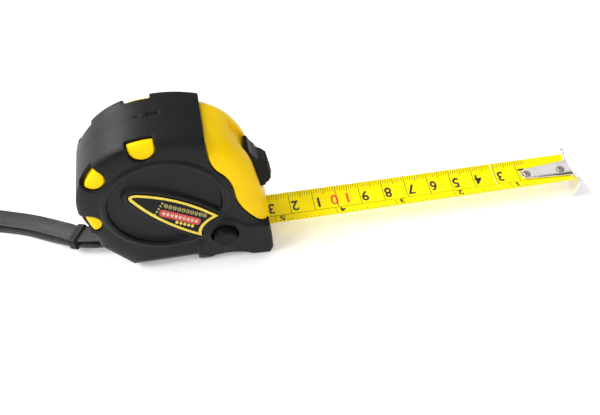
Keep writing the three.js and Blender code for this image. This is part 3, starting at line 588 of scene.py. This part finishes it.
# ---- label ------------------------------------------------------------------------------------
def build_label():
    """A black leaf with a raised yellow border and a red bar, and plain bars where print would be."""
    base = plate(leaf_outline(0), -LABEL_Y, -14.6, "label")
    finished(base, "label_black", "case", "label", "label_plate", angle=40)
    border = plate(leaf_outline(0), -LABEL_Y - 0.09, -LABEL_Y + 0.05, "label_border")
    cut(border, plate(leaf_outline(-1.2), -16, -14))
    finished(border, "label_yellow", "case", "label", angle=40)
    along = Vector((0.853, -0.522))
    across = Vector((-along.y, along.x))

    def bar(name, middle, length, height, material, lift):
        centre = Vector(middle)
        r = height * 0.35
        corners = []
        for sa, sb, turn in ((1, 1, 0), (-1, 1, 90), (-1, -1, 180), (1, -1, 270)):
            for i in range(5):
                a = math.radians(turn + 90 * i / 4)
                u = sa * (length / 2 - r) + r * math.cos(a)
                v = sb * (height / 2 - r) + r * math.sin(a)
                corners.append(centre + along * (u - 0.25 * v) + across * v)
        piece = plate(corners, -LABEL_Y - lift, -LABEL_Y + 0.05, name)
        finished(piece, material, "case", "label", angle=40)

    def row(name, count, middle, step, size, material, lift):
        for i in range(count):
            place = Vector(middle) + Vector(step) * (i - (count - 1) / 2)
            bar(f"{name}_{i + 1}", place, *size, material, lift)

    bar("label_bar", (4.6, 29.7), 16.6, 3.7, "label_red", 0.07)
    row("label_bar_mark", 9, (4.6, 29.7), along * 1.65, (1.1, 1.7), "label_pale", 0.1)
    row("label_upper_mark", 10, (7.0, 32.9), along * 1.75, (1.35, 2.4), "label_gold", 0.07)
    row("label_side_mark", 5, (-2.5, 36.0), (-0.85, -1.35), (0.9, 0.8), "label_gold", 0.07)
    row("label_lower_mark", 5, (5.8, 25.5), along * 1.6, (1.15, 1.6), "label_yellow", 0.07)


# ---- blade ------------------------------------------------------------------------------------
TIP_START = HOOK_X - BLADE["tip"]
INK = 0.035  # how far the printed lines stand over the blade
COIL_BOTTOM = AXIS_Z - 24.4
STATIONS = ((-3, COIL_BOTTOM - 0.7, 0), (6, COIL_BOTTOM - 1.3, 0.15), (16, 9, 0.7), (27, 8, 1.4),
            (36, BLADE["low"], BLADE["sag"]), (HOOK_X, BLADE["low"], BLADE["sag"]))


def blade_height(x, y):
    """Height of the blade's underside: flat near the coil, hollow from the mouth on."""
    for (x0, low0, sag0), (x1, low1, sag1) in zip(STATIONS, STATIONS[1:]):
        if x <= x1:
            t = max(0, (x - x0) / (x1 - x0))
            low, sag = low0 + (low1 - low0) * t, sag0 + (sag1 - sag0) * t
            return low + sag * (y / BLADE["half"]) ** 2
    return BLADE["low"] + BLADE["sag"] * (y / BLADE["half"]) ** 2


def blade_piece(name, x_places):
    steps = 20
    ys = [BLADE["half"] * (2 * i / steps - 1) for i in range(steps + 1)]
    rings = [[(x, y, blade_height(x, y)) for y in ys]
             + [(x, y, blade_height(x, y) + BLADE["thick"]) for y in reversed(ys)] for x in x_places]
    return skinned(name, rings)


def on_blade(x, y, lift):
    return (x, y, blade_height(x, y) + BLADE["thick"] + lift)


def printed_line(points, faces, x0, x1, y0, y1):
    """Adds a thin bar that lies on the blade to points and faces."""
    steps = max(1, round(abs(y1 - y0) / 1.2))
    start = len(points)
    for i in range(steps + 1):
        y = y0 + (y1 - y0) * i / steps
        points += [on_blade(x0, y, INK), on_blade(x1, y, INK), on_blade(x1, y, -0.1), on_blade(x0, y, -0.1)]
    for i in range(steps):
        a, b = start + 4 * i, start + 4 * (i + 1)
        faces += [(a + k, a + (k + 1) % 4, b + (k + 1) % 4, b + k) for k in range(4)]
    last = start + 4 * steps
    faces += [(start + 3, start + 2, start + 1, start), (last, last + 1, last + 2, last + 3)]


def printed_text(text, x, y, size, stretch=1.0, bold=0.0):
    """A digit lying on the blade, read from the far side, as a closed thin solid."""
    font = bpy.data.curves.new("digit", "FONT")
    font.body = text
    font.size = size
    font.align_x, font.align_y = "CENTER", "CENTER"
    font.offset = bold
    font.extrude = 0.05
    font.resolution_u = 4
    holder = bpy.data.objects.new("digit", font)
    scene.collection.objects.link(holder)
    bpy.context.view_layer.update()
    mesh = bpy.data.meshes.new_from_object(holder.evaluated_get(bpy.context.evaluated_depsgraph_get()))
    bpy.data.objects.remove(holder)
    xs = [v.co.x for v in mesh.vertices]
    ys = [v.co.y for v in mesh.vertices]
    middle_x, middle_y = (min(xs) + max(xs)) / 2, (min(ys) + max(ys)) / 2
    for v in mesh.vertices:
        place = on_blade(x - (v.co.x - middle_x) * stretch, y - (v.co.y - middle_y), 0)
        v.co = Vector(place) + Vector((0, 0, v.co.z - 0.015))
    piece = bpy.data.objects.new("digit", mesh)
    scene.collection.objects.link(piece)
    return piece


def merged(name, pieces):
    """One object from several."""
    bm = bmesh.new()
    for piece in pieces:
        bm.from_mesh(piece.data)
        mesh = piece.data
        bpy.data.objects.remove(piece)
        bpy.data.meshes.remove(mesh)
    bmesh.ops.remove_doubles(bm, verts=bm.verts, dist=1e-5)
    made = bpy.data.meshes.new(name)
    bm.to_mesh(made)
    bm.free()
    whole = bpy.data.objects.new(name, made)
    scene.collection.objects.link(whole)
    return whole


ZERO_X = HOOK_X - 2.4  # where the printed centimetre lines count from
CM_Y, INCH_Y, DIVIDER_Y = 1.2, -4.9, -2.9


def build_print(name, x0, x1, body):
    """The scale between x0 and x1: ticks, lines and digits, in black, and the ten in red."""
    points, faces = [], []
    printed_line(points, faces, x0, x1, DIVIDER_Y - 0.06, DIVIDER_Y + 0.06)
    edge = BLADE["half"] - 0.05
    for mark in range(140):
        x = ZERO_X - mark
        if x0 + 0.2 < x < x1 - 0.2:
            whole, half = mark % 10 == 0, mark % 10 == 5
            reach = DIVIDER_Y if whole else edge - (2.6 if half else 1.9)
            thick = 0.11 if whole or half else 0.085
            printed_line(points, faces, x - thick, x + thick, reach, edge)
    sixteenths = 25.4 / 16
    for mark in range(90):
        x = ZERO_X - mark * sixteenths
        if x0 + 0.2 < x < x1 - 0.2:
            reach = {0: 4.6, 8: 2.0, 4: 1.6, 12: 1.6}.get(mark % 16, 1.0)
            printed_line(points, faces, x - 0.09, x + 0.09, -edge, reach - edge)
    black = [face_out(new_object("ticks", points, faces))]
    red = []
    for cm in range(1, 14):
        x = HOOK_X - 10 * cm - 0.3
        if cm == 10:
            if x0 < x < x1:
                red += [printed_text("0", x - 3.2, CM_Y + 0.2, 7.0, 0.95, 0.12),
                        printed_text("1", x + 2.4, CM_Y + 0.2, 7.0, 0.95, 0.12)]
        elif x0 + 2 < x < x1 - 2 and x < HOOK_X - 20:
            black.append(printed_text(str(cm % 10), x, CM_Y, 6.9, 0.9, 0.14))
    for inch in range(1, 6):
        x = HOOK_X - 25.4 * inch + 0.4
        if x0 + 2 < x < x1 - 2:
            black.append(printed_text(str(inch), x, INCH_Y, 4.3, 1.15, 0.1))
    pieces = [(merged(name, black), "print_black")]
    if red:
        pieces.append((merged(name + "_red", red), "print_red"))
    for piece, material in pieces:
        finished(piece, material, body, "yellow_blade", angle=40)
    return [piece for piece, _ in pieces]


def build_blade():
    inner = [-3 + 3 * i for i in range(14)]
    strip_end = TIP_START - GAP
    outer = [39 + (strip_end - 39) * i / 30 for i in range(31)]
    strip = finished(blade_piece("tape_strip", inner[:-1] + outer), "blade", "case", "yellow_blade",
                     "blade_strip", angle=50)
    soft = [strip, *build_print("strip_scale", 34, strip_end, "case")]
    for piece in soft:
        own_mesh(piece)
    places = [TIP_START + (HOOK_X - GAP - TIP_START) * i / 12 for i in range(13)]
    tip = blade_piece("tape_tip", places)
    cut(tip, *[upright(x, 1.4, 4, 12) for x in RIVETS])
    finished(tip, "blade", "blade", "yellow_blade", "blade_tip", angle=50)
    build_print("tip_scale", TIP_START, 153.5, "blade")


def upright(x, r, z0, z1, sides=40):
    """A cylinder along Z on the blade's middle."""
    rings = [[(x + r * math.cos(a), r * math.sin(a), z)
              for a in (2 * math.pi * k / sides for k in range(sides))] for z in (z0, z1)]
    return skinned("upright", rings)


# ---- hook -------------------------------------------------------------------------------------
HOOK_TOP = BLADE["low"] + BLADE["thick"] + GAP


def build_hook():
    path = line((0, 3.6)) + quad((0, 3.6), (5.4, 3.2), (9.2, 0.3)) + quad((9.2, 0.3), (10.6, 4), (10.2, 10.8))
    path += line((8, 11.3)) + quad((8, 11.3), (5.2, 8.2), (0, HOOK_TOP))
    mirrored = [Vector((-p.x, p.y)) for p in reversed(path[1:-1])]
    face = along_x([(p.x, p.y) for p in tidy(path + mirrored)], HOOK_X, HOOK_X + 0.8, "hook_plate")
    rings = []
    for i in range(41):
        x = HOOK_X - 21.6 + 22.4 * i / 40
        s = x - (HOOK_X - 21.6)
        half = min(4.8, 2.9 * math.sqrt(max(0.02, 1 - max(0, 1 - s / 3.0) ** 2)) + max(0, s - 3) * 0.08)
        ys = [half * (2 * k / 12 - 1) for k in range(13)]
        low = [(x, y, HOOK_TOP + BLADE["sag"] * (y / BLADE["half"]) ** 2) for y in ys]
        rings.append(low + [(px, py, pz + 0.5) for px, py, pz in reversed(low)])
    arm = skinned("arm", rings)
    join(face, arm)
    for x in RIVETS:
        cut(face, upright(x, 0.95, 6, 12), upright(x - 1, 0.95, 6, 12), block(x - 1, x, -0.95, 0.95, 6, 12))
    softened(face, 0.16, 4)
    finished(face, "chrome", "hook", "hook_chrome", "end_hook")
    for i, x in enumerate(RIVETS):
        head = HOOK_TOP + 0.62
        profile = [(0, BLADE["low"] - 0.55), (1.45, BLADE["low"] - 0.55), (1.45, BLADE["low"] - 0.3),
                   (0.75, BLADE["low"] - 0.3), (0.75, head), (1.7, head), (1.7, head + 0.12),
                   (1.5, head + 0.36), (1.1, head + 0.5), (0.6, head + 0.5), (0.45, head + 0.36),
                   (0, head + 0.3)]
        rivet = spun_up(f"rivet_{i + 1}", x, 0, profile)
        finished(rivet, "rivet", "blade", "steel", f"hook_rivet_{i + 1}", angle=60)


def spun_up(name, x, y, profile, sides=48):
    """A solid of revolution along Z, from (radius, z) points that start and end on the axis."""
    made = turned(name, 0, 0, profile, sides)
    for v in made.data.vertices:
        v.co = Vector((x + v.co.x, y + v.co.z, v.co.y))
    return face_out(made)


# ---- controls ---------------------------------------------------------------------------------
def build_lock():
    base = slope_plate([(-7, -1.2), (-7.2, 0), (-6.9, 2.1), (7.6, 2.1), (10.4, 0.9), (13, 0.3), (13, -1.2)],
                       LOCK["half"], "thumb_lock_body")
    hump = slope_plate([(-6.9, 1.5), (-6.5, 3.2), (-4.8, 4.6), (-2.8, 5), (3.4, 5), (4.8, 4.2), (6.6, 2.6),
                        (8.6, 1.5)], 3.6)
    ribs = [slope_plate([(s, 4.2), (s + 0.3, 5.4), (s + 0.9, 5.4), (s + 1.2, 4.2)], 3.0)
            for s in (-3.2, -1.2, 0.8, 2.8)]
    join(base, hump, *ribs)
    softened(base, 0.2, 3)
    finished(base, "black_plastic", "lock", "black_plastic", "thumb_lock")


def build_button():
    x, z, r, out = (BUTTON[k] for k in ("x", "z", "r", "out"))
    profile = [(0, -out + 0.12), (r - 2.4, -out + 0.08), (r - 0.9, -out), (r - 0.45, -out + 0.08),
               (r - 0.12, -out + 0.4), (r, -out + 0.9), (r, -10.6), (5.6, -10.6), (5.6, -9.7), (2.2, -9.7),
               (2.2, 4), (0, 4)]
    cap = turned("brake_button", x, z, profile, 72)
    cut(cap, block(x - 20, x + 20, -11.6, -9, z + 4.9, z + 20))
    wedge = [(-6.6, 13.9), (-6.6, 12.9), (-5.6, 12.9), (-3, 13.6), (-3, 13.9)]
    join(cap, along_x(wedge, x - 1.4, x + 1.4))
    finished(cap, "black_plastic", "button", "black_plastic", "side_button", angle=35)
    spring = helix("return_spring", x, z, 4.3, 10.6, 1.6, 0.28, 4)
    finished(spring, "spring_steel", "button", "spring_steel", "button_spring")
    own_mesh(spring)


def helix(name, x, z, y0, y1, radius, wire, turns):
    steps = turns * 28
    rings = []
    for i in range(steps + 1):
        a = 2 * math.pi * i / 28
        out = Vector((math.cos(a), 0, math.sin(a)))
        y = y0 + wire + (y1 - y0 - 2 * wire) * i / steps
        centre = Vector((x, y, z)) + out * radius
        rings.append([centre + out * (wire * math.cos(b)) + Vector((0, wire * math.sin(b), 0))
                      for b in (2 * math.pi * k / 10 for k in range(10))])
    return skinned(name, rings)


# ---- strap ------------------------------------------------------------------------------------
STRAP_ROUTE = (
    (-16.6, 0.5, 11.8), (-17.9, 0.5, 12.4), (-19.8, 0.5, 11.9), (-23.4, 0.6, 9.5), (-29, 1, 8.5),
    (-34, 2.2, 7.7), (-38, 3.6, 6.9), (-44, 7.8, 5.6), (-50, 12, 4.2), (-58, 16.6, 3.3),
    (-66, 19.8, 3.2), (-76, 22.6, 4), (-90, 24.4, 5.6), (-106, 24.6, 7.4), (-122, 23.4, 10),
    (-136, 21.8, 13.4), (-146, 20.4, 14.4), (-153, 19.4, 11.4), (-154.4, 19.2, 6.6), (-149.6, 19.6, 2.6),
    (-140, 20.9, 0.9), (-128, 22.4, 0.7), (-110, 23.6, 0.7), (-92, 23.6, 0.7), (-76, 21.4, 0.7),
    (-66, 18.4, 0.8), (-58, 15.2, 1), (-50, 10.4, 1.8), (-44, 6.4, 3.2), (-38, 2.6, 4.8),
    (-34, 1.2, 5), (-29, 0.6, 4.8), (-24, 0.5, 5.4), (-19.8, 0.5, 7.3), (-17.3, 0.5, 8.1),
    (-16.2, 0.5, 9.2),
)


def smooth_route(route, per_span):
    """A centripetal curve through the route's points, as places at equal steps of length."""
    points = [Vector(p) for p in route]
    ends = [points[0] * 2 - points[1], *points, points[-1] * 2 - points[-2]]
    fine = []
    for p0, p1, p2, p3 in zip(ends, ends[1:], ends[2:], ends[3:]):
        t0 = 0
        t1 = t0 + (p1 - p0).length ** 0.5
        t2 = t1 + (p2 - p1).length ** 0.5
        t3 = t2 + (p3 - p2).length ** 0.5
        for k in range(per_span):
            t = t1 + (t2 - t1) * k / per_span
            a1 = p0 * ((t1 - t) / (t1 - t0)) + p1 * ((t - t0) / (t1 - t0))
            a2 = p1 * ((t2 - t) / (t2 - t1)) + p2 * ((t - t1) / (t2 - t1))
            a3 = p2 * ((t3 - t) / (t3 - t2)) + p3 * ((t - t2) / (t3 - t2))
            b1 = a1 * ((t2 - t) / (t2 - t0)) + a2 * ((t - t0) / (t2 - t0))
            b2 = a2 * ((t3 - t) / (t3 - t1)) + a3 * ((t - t1) / (t3 - t1))
            fine.append(b1 * ((t2 - t) / (t2 - t1)) + b2 * ((t - t1) / (t2 - t1)))
    return [*fine, points[-1]]


def build_strap():
    path = smooth_route(STRAP_ROUTE, 10)
    w, t = STRAP["width"] / 2, STRAP["thick"] / 2
    section = [(-w + 0.3, -t), (w - 0.3, -t), (w, -t * 0.4), (w, t * 0.4), (w - 0.3, t), (-w + 0.3, t),
               (-w, t * 0.4), (-w, -t * 0.4)]
    u = Vector((0, 1, 0))
    rings, lengths = [], [0.0]
    for i, at in enumerate(path):
        ahead, behind = path[min(i + 1, len(path) - 1)], path[max(i - 1, 0)]
        along = (ahead - behind).normalized()
        level = Vector((along.y, -along.x, 0))
        guide = level * math.copysign(1, level.dot(u)) if level.length > 0.4 else u
        u = (guide - along * guide.dot(along)).normalized()
        v = along.cross(u)
        rings.append([at + u * a + v * b for a, b in section])
        lengths.append(lengths[-1] + (ahead - at).length)
    strap = skinned("strap", rings)
    give_strap_uvs(strap, len(section), lengths)
    finished(strap, "webbing", "case", "webbing", "wrist_strap", angle=50)


def give_strap_uvs(strap, n, lengths):
    """U runs across the webbing and V along it, both in millimetres."""
    across = (-3.7, 3.7, 4, 4, 3.7, -3.7, -4, -4)
    layer = strap.data.uv_layers.new(name="UVMap")
    for loop in strap.data.loops:
        ring, k = divmod(loop.vertex_index, n)
        layer.data[loop.index].uv = (across[k], lengths[ring])


def build_keeper():
    """The band across both layers of the strap."""
    def ring(half, tall, deep):
        outline = []
        r = min(0.9, tall * 0.4)
        for sy, sz, turn in ((1, 1, 0), (-1, 1, 90), (-1, -1, 180), (1, -1, 270)):
            for i in range(6):
                a = math.radians(turn + 90 * i / 5)
                outline.append((sy * (half - r) + r * math.cos(a), sz * (tall - r) + r * math.sin(a)))
        return along_x(outline, -deep / 2, deep / 2)

    band = cut(ring(5.15, 2.5, 3.2), ring(4.75, 2.15, 9))
    softened(band, 0.14, 2)
    place = (Matrix.Translation((-38, 3.1, 5.85)) @ Matrix.Rotation(math.radians(-28), 4, "Z")
             @ Matrix.Rotation(math.radians(-11), 4, "Y"))
    band.data.transform(place)
    band.name = "strap_band"
    finished(band, "rubber", "case", "black_plastic", "strap_keeper")


# ---- fittings ---------------------------------------------------------------------------------
def cross_cut(x, z, arm, half, y0, y1):
    return [block(x - arm, x + arm, y0, y1, z - half, z + half),
            block(x - half, x + half, y0, y1, z - arm, z + arm)]


def build_screws():
    for i, (x, z) in enumerate(SCREWS):
        profile = [(0, -7), (1, -6.4), (1, 11.5), (1.7, 11.5), (1.7, 12.2), (1.45, 12.45), (0, 12.6)]
        screw = turned(f"shell_screw_{i + 1}", x, z, profile, 40)
        cut(screw, *cross_cut(x, z, 1.1, 0.25, 12, 13))
        finished(screw, "steel", "case", "steel", f"case_screw_{i + 1}", angle=35)
    head = [(0, 4.6), (1.4, 5), (1.4, 15.3), (3.2, 15.3), (3.2, 15.9), (2.9, 16.3), (2.2, 16.75),
            (1.1, 16.95), (0, 17)]
    screw = turned("belt_clip_screw", 0, AXIS_Z, head, 64)
    cut(screw, *cross_cut(0, AXIS_Z, 1.6, 0.4, 16, 18))
    finished(screw, "steel", "case", "steel", "clip_screw", angle=35)


def build_clip():
    """The clip: a bent steel strip with rounded edges and a hole for reaching the screw."""
    path = line((14.1, 29), (15, 29), (15, 51)) + arc(17.2, 51, 2.2, 180, 0, 24)
    path += quad((19.4, 51), (19.6, 40), (18.6, 24)) + quad((18.6, 24), (18.4, 18), (20.4, 13.6))
    path += line((21.2, 14)) + quad((21.2, 14), (19.4, 18), (19.6, 24))
    path += quad((19.6, 24), (20.6, 40), (20.3, 51))
    path += arc(17.2, 51, 3.1, 0, 180, 24)
    clip = along_x([tuple(p) for p in tidy(path)], -6.5, 6.5, "belt_clip_strip")
    tongue = skinned("tongue", [[(x, y, z) for x, z in (
        [(-6.5, 60), (-6.5, 19)] + [(-6.5 * math.cos(a), 19 - 5.6 * math.sin(a)) for a in
                                    (math.pi * k / 20 for k in range(1, 20))] + [(6.5, 19), (6.5, 60)])]
        for y in (10, 25)])
    common(clip, tongue)
    cut(clip, rod(0, AXIS_Z, 1.8, 10, 16.5), rod(0, AXIS_Z, 4.2, 17, 30))
    softened(clip, 0.22, 3)
    finished(clip, "clip_steel", "case", "clip_steel", "belt_clip")


def dress_cad_nodes():
    """Materials and smooth shading for the inner nodes that are shown as they are."""
    looks = {"spring_drum": "nylon", "drum_cover": "nylon", "power_spring": "spring_steel",
             "tape_coil": "blade", "spring_post": "steel", "mouth_guide": "nylon",
             "lock_slider": "black_plastic", "lock_shoe": "brake_rubber", "brake_shoe": "brake_rubber",
             "strap_pin": "steel"}
    for node, material in looks.items():
        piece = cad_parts[node]
        piece.data.materials.clear()
        piece.data.materials.append(MATERIALS[material])
        piece.data.shade_smooth()
        piece.data.set_sharp_from_angle(angle=math.radians(35))


# ---- studio -----------------------------------------------------------------------------------
# name, place and size in metres, and power
LAMPS = (("key", (-0.7, -0.1, 0.8), 0.5, 9.0), ("fill", (0.1, -0.8, 0.7), 1.0, 3.0),
         ("rim", (-0.7, 0.75, 0.6), 0.5, 7.0))


def make_studio():
    floor = face_out(new_object("floor", [(-3, -3, 0), (3, -3, 0), (3, 3, 0), (-3, 3, 0)], [(0, 1, 2, 3)]))
    paper = surface("paper", (0.86, 0.86, 0.86), 0.7, vary=0.01, patch=3, specular=0.2)
    shader = paper.node_tree.nodes["Principled BSDF"]
    shader.inputs["Emission Color"].default_value = (1, 1, 1, 1)
    shader.inputs["Emission Strength"].default_value = 0.22
    floor.data.materials.append(paper)
    world = bpy.data.worlds.new("studio")
    world.use_nodes = True
    scene.world = world
    nodes, links = world.node_tree.nodes, world.node_tree.links
    background = nodes["Background"]
    place = nodes.new("ShaderNodeTexCoord")
    parts = nodes.new("ShaderNodeSeparateXYZ")
    ramp = nodes.new("ShaderNodeValToRGB")
    links.new(place.outputs["Generated"], parts.inputs["Vector"])
    links.new(parts.outputs["Y"], ramp.inputs["Fac"])
    low, high = ramp.color_ramp.elements
    low.position, high.position = 0.0, 0.35
    low.color, high.color = (0.62, 0.61, 0.60, 1), (1, 1, 1, 1)
    # a dark band low round the room, which polished metal and the rubber's shoulders pick up
    band = nodes.new("ShaderNodeValToRGB")
    links.new(parts.outputs["Z"], band.inputs["Fac"])
    stops = band.color_ramp.elements
    stops[0].position, stops[0].color = 0.1, (1, 1, 1, 1)
    stops[1].position, stops[1].color = 0.56, (1, 1, 1, 1)
    for position in (0.2, 0.42):
        stops.new(position).color = (0.12, 0.115, 0.11, 1)
    both = nodes.new("ShaderNodeMix")
    both.data_type = "RGBA"
    both.blend_type = "MULTIPLY"
    both.inputs["Factor"].default_value = 1
    links.new(ramp.outputs["Color"], both.inputs["A"])
    links.new(band.outputs["Color"], both.inputs["B"])
    links.new(both.outputs["Result"], background.inputs["Color"])
    background.inputs["Strength"].default_value = 0.9
    for name, place, size, power in LAMPS:
        data = bpy.data.lights.new(name, "AREA")
        data.shape = "SQUARE"
        data.size = size
        data.energy = power
        lamp = bpy.data.objects.new(name, data)
        scene.collection.objects.link(lamp)
        lamp.location = place
        target = Vector((0.03, 0, 0.03)) - Vector(place)
        lamp.rotation_euler = target.to_track_quat("-Z", "Y").to_euler()
    scene.view_settings.view_transform = "Standard"


make_camera()
build_strap()
build_keeper()
build_grips()
build_case()
build_label()
build_blade()
build_hook()
build_lock()
build_button()
build_screws()
build_clip()
dress_cad_nodes()
make_studio()
